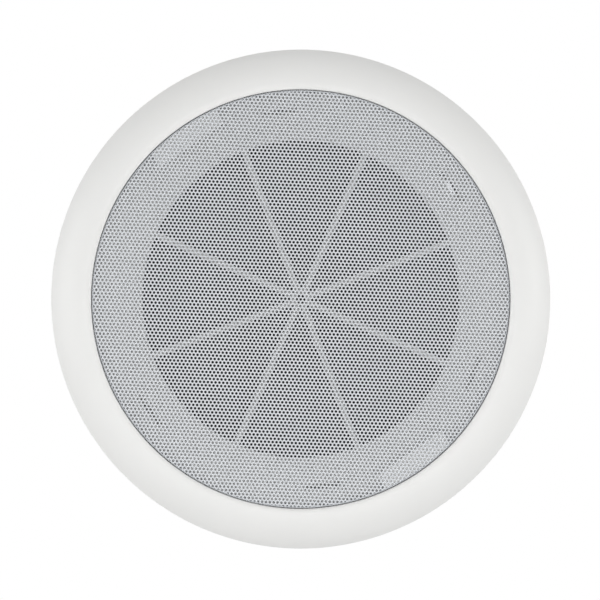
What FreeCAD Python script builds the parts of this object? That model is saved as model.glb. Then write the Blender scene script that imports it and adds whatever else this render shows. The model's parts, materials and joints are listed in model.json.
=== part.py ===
import FreeCAD, Part
import math
import os

import Sketcher

# Flush-mount loudspeaker: a round moulded front with a perforated grille, a cone driver and two spring clamps.
# Every piece is drawn in the loudspeaker's own axes: x to the listener's right, y up and z towards the
# listener, with z = 0 on the panel that the rim rests on. FRONT_TURN then stands it up, so that the front
# faces -Y and +Z is up. Lengths are millimetres and angles are degrees.

DRIVING_SIZES = {
    # front moulding, from the cone's opening outwards
    "opening_radius": 73.1,
    "ledge_margin": 2.5,
    "flange_width": 11.7,
    "hook_clearance": 0.3,
    "well_margin": 8.95,
    "bezel_width": 18.45,
    "frame_wall": 2.4,
    "baffle_height": 1.0,
    "collar_length": 10.0,
    "rim_edge": 1.2,
    "crest_height": 9.0,
    "lip_round": 0.7,
    # spokes and hub
    "spoke_count": 8,
    "spoke_angle": 21.0,
    "spoke_width": 2.75,
    "spoke_gap": 0.05,
    "hub_radius": 4.3,
    "hub_hole_radius": 2.1,
    # hooks for the driver's rim, and slots in front of all but one of them
    "hook_count": 6,
    "hook_angle": 36.5,
    "slot_count": 5,
    "slot_start": 180.0,
    "slot_span": 240.0,
    "slot_width": 2.2,
    "slot_length": 16.5,
    "hook_margin": 0.4,
    "hook_wall": 2.0,
    "hook_nose": 1.8,
    "hook_nose_flat": 1.0,
    "hook_nose_height": 4.0,
    "catch_clearance": 0.1,
    # raised pads over the clamps
    "pad_setback": 1.2,
    "pad_length": 36.0,
    "pad_gap": 0.4,
    # grille
    "grille_face": 7.4,
    "grille_sheet": 0.6,
    "grille_gap": 0.35,
    "grille_bend": 1.6,
    "grille_tilt": -2.53,
    "hole_pitch": 16.5,
    "hole_across": 3.6,
    "hole_margin": 1.2,
    # driver basket
    "gasket_thickness": 3.0,
    "gasket_width": 8.2,
    "gasket_inset": 0.9,
    "basket_sheet": 1.0,
    "ledge_width": 6.6,
    "ledge_drop": 1.8,
    "spider_seat_depth": 25.6,
    "spider_seat_outer": 42.0,
    "spider_seat_inner": 34.0,
    "plate_seat_depth": 6.0,
    "window_count": 6,
    "window_angle": 30.0,
    "window_foot": 1.0,
    "window_head": 4.5,
    "window_inner_width": 26.0,
    "window_outer_width": 38.0,
    # cone, surround and spider
    "surround_width": 8.2,
    "cone_lip": 3.2,
    "cone_sink": 0.4,
    "cone_depth": 21.0,
    "cone_paper": 0.6,
    "cone_neck": 1.6,
    "surround_cloth": 0.5,
    "surround_pleat": 1.5,
    "surround_land": 5.5,
    "spider_cloth": 0.5,
    "spider_pleat": 1.4,
    "spider_land": 5.0,
    "spider_collar": 3.0,
    "cap_radius": 17.0,
    "cap_rise": 5.0,
    "cap_paper": 0.5,
    "glue_line": 0.05,
    # motor
    "coil_radius": 12.5,
    "former_wall": 0.25,
    "winding": 0.4,
    "winding_length": 8.0,
    "former_rise": 1.6,
    "former_tail": 0.6,
    "air_gap": 0.4,
    "plate_lip": 1.0,
    "top_plate_radius": 36.0,
    "top_plate_thickness": 5.0,
    "stud_count": 4,
    "stud_circle": 26.0,
    "stud_radius": 2.2,
    "stud_rise": 0.8,
    "stud_clearance": 0.15,
    "magnet_radius": 40.0,
    "magnet_bore": 17.0,
    "magnet_thickness": 15.0,
    "back_plate_thickness": 5.0,
    "plate_chamfer": 1.2,
    # terminal block on a tab of the basket
    "terminal_angle": 270.0,
    "tab_width": 28.0,
    "tab_root": 38.0,
    "block_inner": 43.5,
    "block_reach": 17.0,
    "block_width": 26.0,
    "block_depth": 14.0,
    "button_side": 8.0,
    "button_spacing": 12.4,
    "button_height": 8.5,
    "button_proud": 3.0,
    "button_stroke": 2.5,
    "button_clearance": 0.3,
    "wire_hole_radius": 1.6,
    "wire_hole_depth": 9.0,
    "wire_hole_drop": 3.0,
    "lug_width": 3.0,
    "lug_sheet": 0.8,
    "lug_rise": 5.0,
    "lug_root": 2.4,
    "lug_inset": 1.7,
    "lug_clearance": 0.1,
    "rivet_radius": 1.2,
    "rivet_head_radius": 2.2,
    "rivet_head_height": 1.1,
    "rivet_grip": 6.0,
    "rivet_inset": 2.0,
    "rivet_clearance": 0.05,
    # leads
    "lead_radius": 0.6,
    "lead_bend": 3.0,
    "lead_run": 8.0,
    "lead_climb": 4.2,
    "lead_gap": 0.5,
    # spring clamps
    "clamp_angle": 125.0,
    "arm_width": 20.0,
    "arm_sheet": 1.2,
    "arm_gap": 0.3,
    "arm_side_gap": 0.5,
    "arm_flat": 9.75,
    "tip_inset": 4.5,
    "arm_tail": 1.7,
    "cheek_radius": 2.6,
    "cheek_root": 5.0,
    "ear_wall": 3.0,
    "ear_margin": 3.0,
    "ear_reach": 4.0,
    "web_wall": 2.0,
    "hollow_width": 3.4,
    "pin_inset": 3.3,
    "pin_rise": 3.0,
    "pin_radius": 1.5,
    "pin_fit": 0.03,
    "pin_run": 0.1,
    "pin_end": 0.5,
    "foot_wall": 1.0,
    "foot_sole": 1.4,
    "foot_cover": 4.0,
    "foot_clearance": 0.05,
    "grip_gap": 5.0,
    "spring_wire": 1.0,
    "spring_gap": 0.05,
    "spring_turns": 4,
    "spring_pitch": 1.5,
    "spring_long_leg": 8.0,
    "spring_short_leg": 5.0,
}
SHEET = "Sizes"
FRONT_TURN = FreeCAD.Rotation(FreeCAD.Vector(1, 0, 0), 90)
AXIAL = FreeCAD.Vector(0, 0, 1)


class Size:
    """A size with its present value and the sheet expression that gives it."""

    def __init__(self, value, text):
        self.value = value
        self.text = text

    def __add__(self, other):
        other = as_size(other)
        return Size(self.value + other.value, f"({self.text} + {other.text})")

    def __sub__(self, other):
        other = as_size(other)
        return Size(self.value - other.value, f"({self.text} - {other.text})")

    def __mul__(self, other):
        other = as_size(other)
        return Size(self.value * other.value, f"({self.text} * {other.text})")

    def __truediv__(self, other):
        other = as_size(other)
        return Size(self.value / other.value, f"({self.text} / {other.text})")

    def __neg__(self):
        return Size(-self.value, f"(0 - {self.text})")

    def root(self):
        """The square root, as a size."""
        return Size(math.sqrt(self.value), f"sqrt({self.text})")


class Sizes:
    """The driving sizes by name, each tied to its cell in the sheet."""

    def __init__(self, sheet):
        for row, (name, value) in enumerate(DRIVING_SIZES.items(), start=1):
            sheet.set(f"A{row}", name)
            sheet.set(f"B{row}", str(value))
            sheet.setAlias(f"B{row}", name)
            setattr(self, name, Size(float(value), f"{SHEET}.{name}"))


def as_size(number):
    """A plain number as a size that no cell drives."""
    if isinstance(number, Size):
        return number
    return Size(float(number), f"({float(number)})")


def bind(item, path, size):
    """Tie one property of an object to the sheet."""
    size = as_size(size)
    if SHEET in size.text:
        item.setExpression(path, size.text)


def new_body(label, turn=0.0):
    """An empty body, stood up on the panel and turned about the loudspeaker's axis."""
    body = doc.addObject("PartDesign::Body", label)
    body.Label = label
    body.Placement = FreeCAD.Placement(FreeCAD.Vector(), FRONT_TURN.multiply(FreeCAD.Rotation(AXIAL, turn)))
    return body


def origin_feature(body, role):
    """One of the body's own origin planes or axes."""
    return next(feature for feature in body.Origin.OriginFeatures if feature.Role == role)


def new_sketch(body, name, plane, turn=0.0, shift=(0.0, 0.0, 0.0)):
    """A sketch on an origin plane, turned about the loudspeaker's axis and shifted in its own axes."""
    sketch = body.newObject("Sketcher::SketchObject", name)
    sketch.AttachmentSupport = [(origin_feature(body, plane), "")]
    sketch.MapMode = "FlatFace"
    turn = as_size(turn)
    shift = [as_size(along) for along in shift]
    axis = FreeCAD.Vector(0, 1, 0) if plane == "XZ_Plane" else FreeCAD.Vector(0, 0, 1)
    base = FreeCAD.Vector(*[along.value for along in shift])
    sketch.AttachmentOffset = FreeCAD.Placement(base, FreeCAD.Rotation(axis, turn.value))
    if turn.value:
        bind(sketch, "AttachmentOffset.Rotation.Angle", turn)
    for letter, along in zip("xyz", shift):
        bind(sketch, f"AttachmentOffset.Base.{letter}", along)
    return sketch


def fix(sketch, kind, name, size, *where):
    """Add a named dimension to a sketch and tie it to the sheet."""
    size = as_size(size)
    index = sketch.addConstraint(Sketcher.Constraint(kind, *where, size.value))
    sketch.renameConstraint(index, name)
    bind(sketch, f"Constraints.{name}", size)


def arc_between(start, end, radius, ccw):
    """The shorter arc of a given radius from start to end."""
    chord = end - start
    rise = math.sqrt(max(radius * radius - chord.Length * chord.Length / 4, 0.0))
    side = FreeCAD.Vector(-chord.y, chord.x, 0).normalize() * (rise if ccw else -rise)
    centre = (start + end) * 0.5 + side
    first, last = (start, end) if ccw else (end, start)
    angles = [math.atan2(point.y - centre.y, point.x - centre.x) for point in (first, last)]
    return Part.ArcOfCircle(Part.Circle(centre, AXIAL, radius), *angles)


def outline(sketch, corners, mark=""):
    """A closed outline through corners (across, up), where (across, up, radius, ccw) starts an arc."""
    points = [FreeCAD.Vector(as_size(c[0]).value, as_size(c[1]).value, 0) for c in corners]
    edges = []
    for number, corner in enumerate(corners):
        start, end = points[number], points[(number + 1) % len(points)]
        ends = (1, 2)
        if len(corner) == 4:
            radius, ccw = as_size(corner[2]), corner[3]
            edge = sketch.addGeometry(arc_between(start, end, radius.value, ccw))
            fix(sketch, "Radius", f"{mark}radius{number}", radius, edge)
            ends = (1, 2) if ccw else (2, 1)
        else:
            edge = sketch.addGeometry(Part.LineSegment(start, end))
        edges.append((edge, ends))
    for number, (edge, ends) in enumerate(edges):
        following, next_ends = edges[(number + 1) % len(edges)]
        sketch.addConstraint(Sketcher.Constraint("Coincident", edge, ends[1], following, next_ends[0]))
    for number, (edge, ends) in enumerate(edges):
        fix(sketch, "DistanceX", f"{mark}across{number}", corners[number][0], edge, ends[0])
        fix(sketch, "DistanceY", f"{mark}up{number}", corners[number][1], edge, ends[0])


def box_outline(sketch, left, right, low, high, mark=""):
    """A rectangle given by its four sides."""
    outline(sketch, [(left, low), (right, low), (right, high), (left, high)], mark)


def circle(sketch, across, up, radius, mark=""):
    """A circle given by its centre and radius."""
    centre = FreeCAD.Vector(as_size(across).value, as_size(up).value, 0)
    edge = sketch.addGeometry(Part.Circle(centre, AXIAL, as_size(radius).value))
    fix(sketch, "Radius", f"{mark}radius", radius, edge)
    fix(sketch, "DistanceX", f"{mark}across", across, edge, 3)
    fix(sketch, "DistanceY", f"{mark}up", up, edge, 3)


def turn_profile(body, name, corners):
    """Revolve an outline of (radius, height) corners about the loudspeaker's axis."""
    sketch = new_sketch(body, f"{name}_profile", "XZ_Plane")
    outline(sketch, corners)
    revolution = body.newObject("PartDesign::Revolution", name)
    revolution.Profile = sketch
    revolution.ReferenceAxis = (sketch, ["V_Axis"])
    revolution.Angle = 360
    return revolution


def extrude(body, name, sketch, length, kind="Pad", side="One side", back=False):
    """A pad or pocket of a known length, one way or both ways from its sketch."""
    feature = body.newObject(f"PartDesign::{kind}", name)
    feature.Profile = sketch
    feature.SideType = side
    feature.Reversed = back
    feature.Length = as_size(length).value
    bind(feature, "Length", length)
    return feature


def around(body, name, originals, count, span=360):
    """Repeat features evenly about the loudspeaker's axis, all the way round or over a span of degrees."""
    pattern = body.newObject("PartDesign::PolarPattern", name)
    pattern.Originals = originals
    pattern.Axis = (origin_feature(body, "Z_Axis"), [""])
    pattern.Angle = as_size(span).value
    bind(pattern, "Angle", span)
    pattern.Occurrences = round(as_size(count).value)
    bind(pattern, "Occurrences", count)
    body.Tip = pattern
    doc.recompute()


def turned_piece(label, corners):
    """A piece that is one revolved profile."""
    body = new_body(label)
    turn_profile(body, f"{label}_turned", corners)
    return body


def zigzag(inner, outer, height, pleat, folds):
    """Corners of a pleated line from the inner to the outer radius, standing up on every second fold."""
    step = (outer - inner) / (folds + 1)
    corners = []
    for fold in range(1, folds + 1):
        corners.append((inner + step * fold, height + pleat if fold % 2 else height))
    return corners


def lowered(corners, drop):
    """The same corners, further back and in reverse order."""
    return [(across, up - drop) for across, up in reversed(corners)]


doc = FreeCAD.newDocument("loudspeaker")
sheet = doc.addObject("Spreadsheet::Sheet", SHEET)
size = Sizes(sheet)
doc.recompute()

# Heights along the axis that several pieces share, from the front of the rim to the back of the motor.
BAFFLE_BACK = size.baffle_height - size.frame_wall
GRILLE_BACK = size.grille_face - size.grille_sheet
FLANGE_FRONT = BAFFLE_BACK - size.gasket_thickness
FLANGE_BACK = FLANGE_FRONT - size.basket_sheet
LEDGE_FRONT = FLANGE_FRONT - size.ledge_drop
LIP_FRONT = LEDGE_FRONT - size.cone_sink
NECK_HEIGHT = LIP_FRONT - size.cone_depth
SPIDER_SEAT = FLANGE_FRONT - size.spider_seat_depth
PLATE_SEAT = SPIDER_SEAT - size.plate_seat_depth
TOP_PLATE_FRONT = PLATE_SEAT - size.basket_sheet
TOP_PLATE_BACK = TOP_PLATE_FRONT - size.top_plate_thickness
MAGNET_BACK = TOP_PLATE_BACK - size.magnet_thickness
ARM_FRONT = -size.collar_length - size.arm_gap
ARM_BACK = ARM_FRONT - size.arm_sheet
PIN_HEIGHT = ARM_BACK - size.pin_rise
BLOCK_FRONT = SPIDER_SEAT - size.basket_sheet
BLOCK_BACK = BLOCK_FRONT - size.block_depth

# Radii that several pieces share, from the cone's edge outwards and then those of the motor.
LEDGE_OUTER = size.opening_radius + size.ledge_margin
LEDGE_INNER = LEDGE_OUTER - size.ledge_width
CONE_RADIUS = LEDGE_INNER - size.surround_width
CONE_LIP_INNER = CONE_RADIUS - size.cone_lip
DRIVER_RIM = LEDGE_OUTER + size.flange_width
HOOK_FACE = DRIVER_RIM + size.hook_clearance
WELL_RADIUS = HOOK_FACE + size.well_margin
COLLAR_RADIUS = WELL_RADIUS + size.frame_wall
RIM_RADIUS = WELL_RADIUS + size.bezel_width
GRILLE_RADIUS = WELL_RADIUS - size.grille_gap
GRILLE_INNER = GRILLE_RADIUS - size.grille_sheet
PIN_PLACE = WELL_RADIUS - size.pin_inset
FORMER_OUTER = size.coil_radius + size.former_wall
COIL_INNER = FORMER_OUTER + size.glue_line
COIL_OUTER = COIL_INNER + size.winding
PLATE_BORE = COIL_OUTER + size.air_gap
POLE_RADIUS = size.coil_radius - size.air_gap
CONE_NECK = FORMER_OUTER + size.glue_line
BRACKET_GAP = size.arm_width + size.arm_side_gap * 2
BRACKET_WIDTH = BRACKET_GAP + size.ear_wall * 2


def front_rim():
    """The domed rim that shows around the grille, with the upper wall of the grille's well."""
    crest = WELL_RADIUS + size.lip_round
    reach = RIM_RADIUS - crest
    rise = size.crest_height - size.rim_edge
    dome = (reach * reach + rise * rise) / (rise * 2)
    under_dome = dome - size.frame_wall
    centre_drop = dome - size.crest_height
    foot_inner = crest + (under_dome * under_dome - centre_drop * centre_drop).root()
    wall_run = COLLAR_RADIUS - crest
    under_lip = (under_dome * under_dome - wall_run * wall_run).root() - centre_drop
    turned_piece("front_rim", [
        (RIM_RADIUS, 0),
        (RIM_RADIUS, size.rim_edge, dome, True),
        (crest, size.crest_height, size.lip_round, True),
        (WELL_RADIUS, size.crest_height - size.lip_round),
        (WELL_RADIUS, size.baffle_height),
        (COLLAR_RADIUS, size.baffle_height),
        (COLLAR_RADIUS, under_lip, under_dome, False),
        (foot_inner, 0),
    ])


def baffle():
    """The ring that carries the driver, with its collar, hooks, raised pads and clamp brackets."""
    body = turned_piece("baffle", [
        (size.opening_radius, size.baffle_height),
        (COLLAR_RADIUS, size.baffle_height),
        (COLLAR_RADIUS, -size.collar_length),
        (WELL_RADIUS, -size.collar_length),
        (WELL_RADIUS, BAFFLE_BACK),
        (size.opening_radius, BAFFLE_BACK),
    ])
    slots_and_hooks(body)
    clamp_pads_and_brackets(body)


def cone_guard():
    """Eight flat spokes that meet in a hub ring, level with the baffle and ending at its opening."""
    body = new_body("cone_guard")
    on_baffle = (0, 0, size.baffle_height)
    half = size.spoke_width / 2
    reach = (size.opening_radius * size.opening_radius - half * half).root() - size.spoke_gap
    sketch = new_sketch(body, "spoke_outline", "XY_Plane", size.spoke_angle, on_baffle)
    box_outline(sketch, 0, reach, -half, half)
    spoke = extrude(body, "spoke", sketch, size.frame_wall, back=True)
    around(body, "spokes", [spoke], size.spoke_count)
    sketch = new_sketch(body, "hub_outline", "XY_Plane", 0, on_baffle)
    circle(sketch, 0, 0, size.hub_radius)
    extrude(body, "hub", sketch, size.frame_wall, back=True)
    sketch = new_sketch(body, "hub_hole_outline", "XY_Plane", 0, on_baffle)
    circle(sketch, 0, 0, size.hub_hole_radius)
    extrude(body, "hub_hole", sketch, size.frame_wall, "Pocket")


def slots_and_hooks(body):
    """Hooks that snap over the driver's rim, with slots through the baffle in front of all but one."""
    slot_angle = size.hook_angle + size.slot_start
    sketch = new_sketch(body, "slot_outline", "XY_Plane", slot_angle, (0, 0, size.baffle_height))
    half_length = size.slot_length / 2
    box_outline(sketch, HOOK_FACE - size.slot_width, HOOK_FACE, -half_length, half_length)
    slot = extrude(body, "slot", sketch, size.frame_wall, "Pocket")
    around(body, "slots", [slot], size.slot_count, size.slot_span)
    sketch = new_sketch(body, "hook_outline", "XZ_Plane", size.hook_angle)
    catch = FLANGE_BACK - size.catch_clearance
    tip = catch - size.hook_nose_height
    root = BAFFLE_BACK + size.frame_wall / 2
    outline(sketch, [
        (HOOK_FACE, root),
        (HOOK_FACE, catch),
        (HOOK_FACE - size.hook_nose, catch),
        (HOOK_FACE - size.hook_nose, catch - size.hook_nose_flat),
        (HOOK_FACE, tip),
        (HOOK_FACE + size.hook_wall, tip),
        (HOOK_FACE + size.hook_wall, root),
    ])
    hook = extrude(body, "hook", sketch, size.slot_length + size.hook_margin * 2, side="Symmetric")
    around(body, "hooks", [hook], size.hook_count)


def clamp_pads_and_brackets(body):
    """Two raised pads under the grille and, behind them, the hollow brackets that carry the clamps."""
    sketch = new_sketch(body, "pad_outline", "XY_Plane", size.clamp_angle, (0, 0, BAFFLE_BACK))
    rim = GRILLE_INNER - size.pad_gap
    half_length = size.pad_length / 2
    pad_inner = HOOK_FACE - size.pad_setback
    corner = (rim * rim - half_length * half_length).root()
    outline(sketch, [
        (pad_inner, -half_length),
        (corner, -half_length, rim, True),
        (corner, half_length),
        (pad_inner, half_length),
    ])
    pad_top = GRILLE_BACK - size.pad_gap
    pad = extrude(body, "pad", sketch, pad_top - BAFFLE_BACK)

    web_outer = HOOK_FACE + size.web_wall
    ear_inner = PIN_PLACE - size.ear_margin
    ear_outer = PIN_PLACE + size.ear_reach
    ear_top = PIN_HEIGHT - size.ear_margin
    root = BAFFLE_BACK + size.frame_wall / 2
    sketch = new_sketch(body, "bracket_outline", "XZ_Plane", size.clamp_angle)
    outline(sketch, [
        (HOOK_FACE, root),
        (HOOK_FACE, ARM_BACK),
        (ear_inner, ARM_BACK),
        (ear_inner, ear_top),
        (ear_outer, ear_top),
        (ear_outer, root),
    ])
    bracket = extrude(body, "bracket", sketch, BRACKET_WIDTH, side="Symmetric")

    sketch = new_sketch(body, "channel_outline", "XZ_Plane", size.clamp_angle)
    half_gap = BRACKET_GAP / 2
    collar_wall = (WELL_RADIUS * WELL_RADIUS - half_gap * half_gap).root()
    past_ear = ear_outer + size.ear_reach
    past_top = ear_top - size.ear_margin
    outline(sketch, [
        (web_outer, pad_top - size.frame_wall),
        (web_outer, past_top),
        (past_ear, past_top),
        (past_ear, -size.collar_length),
        (collar_wall, -size.collar_length),
        (collar_wall, BAFFLE_BACK),
        (web_outer + size.hollow_width, BAFFLE_BACK),
        (web_outer + size.hollow_width, pad_top - size.frame_wall),
    ])
    channel = extrude(body, "channel", sketch, BRACKET_GAP, "Pocket", "Symmetric")

    sketch = new_sketch(body, "pin_hole_outline", "XZ_Plane", size.clamp_angle)
    circle(sketch, PIN_PLACE, PIN_HEIGHT, size.pin_radius + size.pin_fit)
    pin_hole = extrude(body, "pin_hole", sketch, BRACKET_WIDTH + size.ear_wall, "Pocket", "Symmetric")
    around(body, "brackets", [pad, bracket, channel, pin_hole], 2)


def hole_centres():
    """Centres of the grille's holes: rows of a triangular lattice, kept within the flat of the sheet."""
    pitch = size.hole_pitch.value
    across = size.hole_across.value
    flat = GRILLE_RADIUS.value - size.grille_bend.value - size.hole_margin.value
    limit = flat - across / math.sqrt(3)
    rows = math.ceil(limit / (pitch * math.sqrt(3) / 2))
    columns = math.ceil(limit / pitch) + 1
    centres = []
    for row in range(-rows, rows + 1):
        for column in range(-columns, columns + 1):
            along = (column + (row % 2) / 2) * pitch
            centre = FreeCAD.Vector(along, row * pitch * math.sqrt(3) / 2, 0)
            if centre.Length <= limit:
                centres.append(centre)
    return centres


def perforation(height):
    """Six-sided punches through the grille's face, on the lattice, as one compound."""
    corner = size.hole_across.value / math.sqrt(3)
    spokes = [math.radians(60 * side + 30) for side in range(7)]
    ring = [FreeCAD.Vector(corner * math.cos(a), corner * math.sin(a), 0) for a in spokes]
    face = Part.Face(Part.makePolygon(ring))
    punch = face.extrude(FreeCAD.Vector(0, 0, height))
    punches = []
    for centre in hole_centres():
        copy = punch.copy()
        copy.translate(centre)
        punches.append(copy)
    return Part.makeCompound(punches)


def grille():
    """The pressed steel dish in the well: a flat perforated face with a rim turned back to the baffle."""
    sheet_inner_bend = size.grille_bend - size.grille_sheet
    shoulder = GRILLE_RADIUS - size.grille_bend
    blank = turned_piece("grille_blank", [
        (0, size.grille_face),
        (0, GRILLE_BACK),
        (shoulder, GRILLE_BACK, sheet_inner_bend, False),
        (GRILLE_INNER, size.grille_face - size.grille_bend),
        (GRILLE_INNER, size.baffle_height),
        (GRILLE_RADIUS, size.baffle_height),
        (GRILLE_RADIUS, size.grille_face - size.grille_bend, size.grille_bend, True),
        (shoulder, size.grille_face),
    ])
    punches = doc.addObject("Part::Feature", "grille_punches")
    punches.Shape = perforation(3 * size.grille_sheet.value)
    lattice_turn = FRONT_TURN.multiply(FreeCAD.Rotation(AXIAL, size.grille_tilt.value))
    below_face = FreeCAD.Vector(0, 0, GRILLE_BACK.value - size.grille_sheet.value)
    punches.Placement = FreeCAD.Placement(FRONT_TURN.multVec(below_face), lattice_turn)
    sheet_metal = doc.addObject("Part::Cut", "grille")
    sheet_metal.Base = blank
    sheet_metal.Tool = punches
    return sheet_metal


def basket():
    """The pressed steel basket: front flange, surround ledge, windowed side, spider seat and motor plate."""
    body = new_body("basket")
    sheet_steel = size.basket_sheet
    plate_inner = PLATE_BORE + size.plate_lip
    turn_profile(body, "pressing", [
        (DRIVER_RIM, FLANGE_FRONT),
        (LEDGE_OUTER, FLANGE_FRONT),
        (LEDGE_OUTER, LEDGE_FRONT),
        (LEDGE_INNER, LEDGE_FRONT),
        (size.spider_seat_outer, SPIDER_SEAT),
        (size.spider_seat_inner, SPIDER_SEAT),
        (size.spider_seat_inner, PLATE_SEAT),
        (plate_inner, PLATE_SEAT),
        (plate_inner, TOP_PLATE_FRONT),
        (size.spider_seat_inner + sheet_steel, TOP_PLATE_FRONT),
        (size.spider_seat_inner + sheet_steel, BLOCK_FRONT),
        (size.spider_seat_outer + sheet_steel / 2, BLOCK_FRONT),
        (LEDGE_INNER + sheet_steel / 2, LEDGE_FRONT - sheet_steel),
        (LEDGE_OUTER + sheet_steel, LEDGE_FRONT - sheet_steel),
        (LEDGE_OUTER + sheet_steel, FLANGE_BACK),
        (DRIVER_RIM, FLANGE_BACK),
    ])
    sketch = new_sketch(body, "window_outline", "XY_Plane", size.window_angle, (0, 0, FLANGE_FRONT))
    half_inner = size.window_inner_width / 2
    half_outer = size.window_outer_width / 2
    window_inner = size.spider_seat_outer + size.window_foot
    window_outer = LEDGE_INNER - size.window_head
    outline(sketch, [
        (window_inner, -half_inner),
        (window_outer, -half_outer),
        (window_outer, half_outer),
        (window_inner, half_inner),
    ])
    window = extrude(body, "window", sketch, FLANGE_FRONT - TOP_PLATE_FRONT, "Pocket")
    around(body, "windows", [window], size.window_count)

    sketch = new_sketch(body, "tab_outline", "XY_Plane", size.terminal_angle, (0, 0, SPIDER_SEAT))
    half_tab = size.tab_width / 2
    tab_end = size.block_inner + size.block_reach
    box_outline(sketch, size.tab_root, tab_end, -half_tab, half_tab)
    extrude(body, "tab", sketch, sheet_steel, back=True)
    sketch = new_sketch(body, "tab_hole_outline", "XY_Plane", size.terminal_angle, (0, 0, SPIDER_SEAT))
    for mark, side in (("left_", -1), ("right_", 1)):
        lug_at = size.button_spacing / 2 * side
        half_lug = size.lug_width / 2 + size.lug_clearance * 3
        half_sheet = size.lug_sheet / 2 + size.lug_clearance * 3
        lug_place = size.block_inner + size.lug_inset
        box_outline(sketch, lug_place - half_sheet, lug_place + half_sheet,
                    lug_at - half_lug, lug_at + half_lug, f"{mark}lug_")
        circle(sketch, tab_end - size.rivet_inset, rivet_offset() * side,
               size.rivet_radius + size.rivet_clearance, f"{mark}rivet_")
    extrude(body, "tab_holes", sketch, sheet_steel, "Pocket")

    sketch = new_sketch(body, "stud_hole_outline", "XY_Plane", 0, (0, 0, PLATE_SEAT))
    circle(sketch, size.stud_circle, 0, size.stud_radius + size.stud_clearance)
    stud_hole = extrude(body, "stud_hole", sketch, sheet_steel, "Pocket")
    around(body, "stud_holes", [stud_hole], size.stud_count)
    return body


def rivet_offset():
    """How far each terminal rivet stands from the middle of the tab."""
    return size.block_width / 2 - size.rivet_inset


def driver_soft_parts():
    """The gasket ring, the pleated surround and the pleated spider."""
    gasket_outer = HOOK_FACE - size.slot_width - size.gasket_inset
    turned_piece("driver_gasket", [
        (gasket_outer - size.gasket_width, BAFFLE_BACK),
        (gasket_outer, BAFFLE_BACK),
        (gasket_outer, FLANGE_FRONT),
        (gasket_outer - size.gasket_width, FLANGE_FRONT),
    ])
    cloth = size.surround_cloth
    land = LEDGE_OUTER - size.glue_line * 4
    edge = land - size.surround_land
    front = [(CONE_LIP_INNER, LIP_FRONT + cloth), (CONE_RADIUS, LIP_FRONT + cloth)]
    front += zigzag(CONE_RADIUS, edge, LIP_FRONT + cloth, size.surround_pleat, 3)
    front += [(edge, LEDGE_FRONT + cloth), (land, LEDGE_FRONT + cloth)]
    turned_piece("surround", front + lowered(front, cloth))

    cloth = size.spider_cloth
    seat = size.spider_seat_outer - size.glue_line * 4
    edge = seat - size.spider_land
    inner = FORMER_OUTER + size.glue_line
    front = [(inner, SPIDER_SEAT + cloth), (inner + size.spider_collar, SPIDER_SEAT + cloth)]
    front += zigzag(inner + size.spider_collar, edge, SPIDER_SEAT + cloth, size.spider_pleat, 5)
    front += [(edge, SPIDER_SEAT + cloth), (seat, SPIDER_SEAT + cloth)]
    turned_piece("spider", front + lowered(front, cloth))


def cone_height(radius):
    """Height of the cone's front face at a radius on its straight side."""
    return NECK_HEIGHT + (radius - CONE_NECK) * size.cone_depth / (CONE_LIP_INNER - CONE_NECK)


def moving_parts():
    """The cone with its dust cap, and the coil on its former."""
    paper = size.cone_paper
    turned_piece("cone", [
        (CONE_RADIUS, LIP_FRONT),
        (CONE_LIP_INNER, LIP_FRONT),
        (CONE_NECK, NECK_HEIGHT),
        (CONE_NECK, NECK_HEIGHT - size.cone_neck),
        (CONE_NECK + paper, NECK_HEIGHT - size.cone_neck),
        (CONE_NECK + paper, NECK_HEIGHT - paper / 2),
        (CONE_LIP_INNER + paper / 4, LIP_FRONT - paper),
        (CONE_RADIUS, LIP_FRONT - paper),
    ])
    rim = cone_height(size.cap_radius) + size.glue_line
    crown = rim + size.cap_rise
    ball = (size.cap_radius * size.cap_radius + size.cap_rise * size.cap_rise) / (size.cap_rise * 2)
    inner_ball = ball - size.cap_paper
    centre_drop = ball - size.cap_rise
    inner_rim = (inner_ball * inner_ball - centre_drop * centre_drop).root()
    turned_piece("dust_cap", [
        (0, crown - size.cap_paper, inner_ball, False),
        (inner_rim, rim),
        (size.cap_radius, rim, ball, True),
        (0, crown),
    ])
    winding_middle = (TOP_PLATE_FRONT + TOP_PLATE_BACK) / 2
    winding_end = winding_middle - size.winding_length / 2
    turned_piece("coil_former", [
        (size.coil_radius, NECK_HEIGHT + size.former_rise),
        (FORMER_OUTER, NECK_HEIGHT + size.former_rise),
        (FORMER_OUTER, winding_end - size.former_tail),
        (size.coil_radius, winding_end - size.former_tail),
    ])
    turned_piece("voice_coil", [
        (COIL_INNER, winding_end + size.winding_length),
        (COIL_OUTER, winding_end + size.winding_length),
        (COIL_OUTER, winding_end),
        (COIL_INNER, winding_end),
    ])


def motor():
    """Top plate with its staked studs, ferrite ring, and yoke: the back plate with the pole."""
    body = turned_piece("top_plate", [
        (PLATE_BORE, TOP_PLATE_FRONT),
        (size.top_plate_radius, TOP_PLATE_FRONT),
        (size.top_plate_radius, TOP_PLATE_BACK),
        (PLATE_BORE, TOP_PLATE_BACK),
    ])
    sketch = new_sketch(body, "stud_outline", "XY_Plane", 0, (0, 0, TOP_PLATE_FRONT))
    circle(sketch, size.stud_circle, 0, size.stud_radius)
    stud = extrude(body, "stud", sketch, size.basket_sheet + size.stud_rise)
    around(body, "studs", [stud], size.stud_count)
    turned_piece("magnet", [
        (size.magnet_bore, TOP_PLATE_BACK),
        (size.magnet_radius, TOP_PLATE_BACK),
        (size.magnet_radius, MAGNET_BACK),
        (size.magnet_bore, MAGNET_BACK),
    ])
    back = MAGNET_BACK - size.back_plate_thickness
    chamfer = size.plate_chamfer
    turned_piece("yoke", [
        (0, TOP_PLATE_FRONT),
        (0, back),
        (size.top_plate_radius - chamfer, back),
        (size.top_plate_radius, back + chamfer),
        (size.top_plate_radius, MAGNET_BACK),
        (POLE_RADIUS, MAGNET_BACK),
        (POLE_RADIUS, TOP_PLATE_FRONT),
    ])


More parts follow.
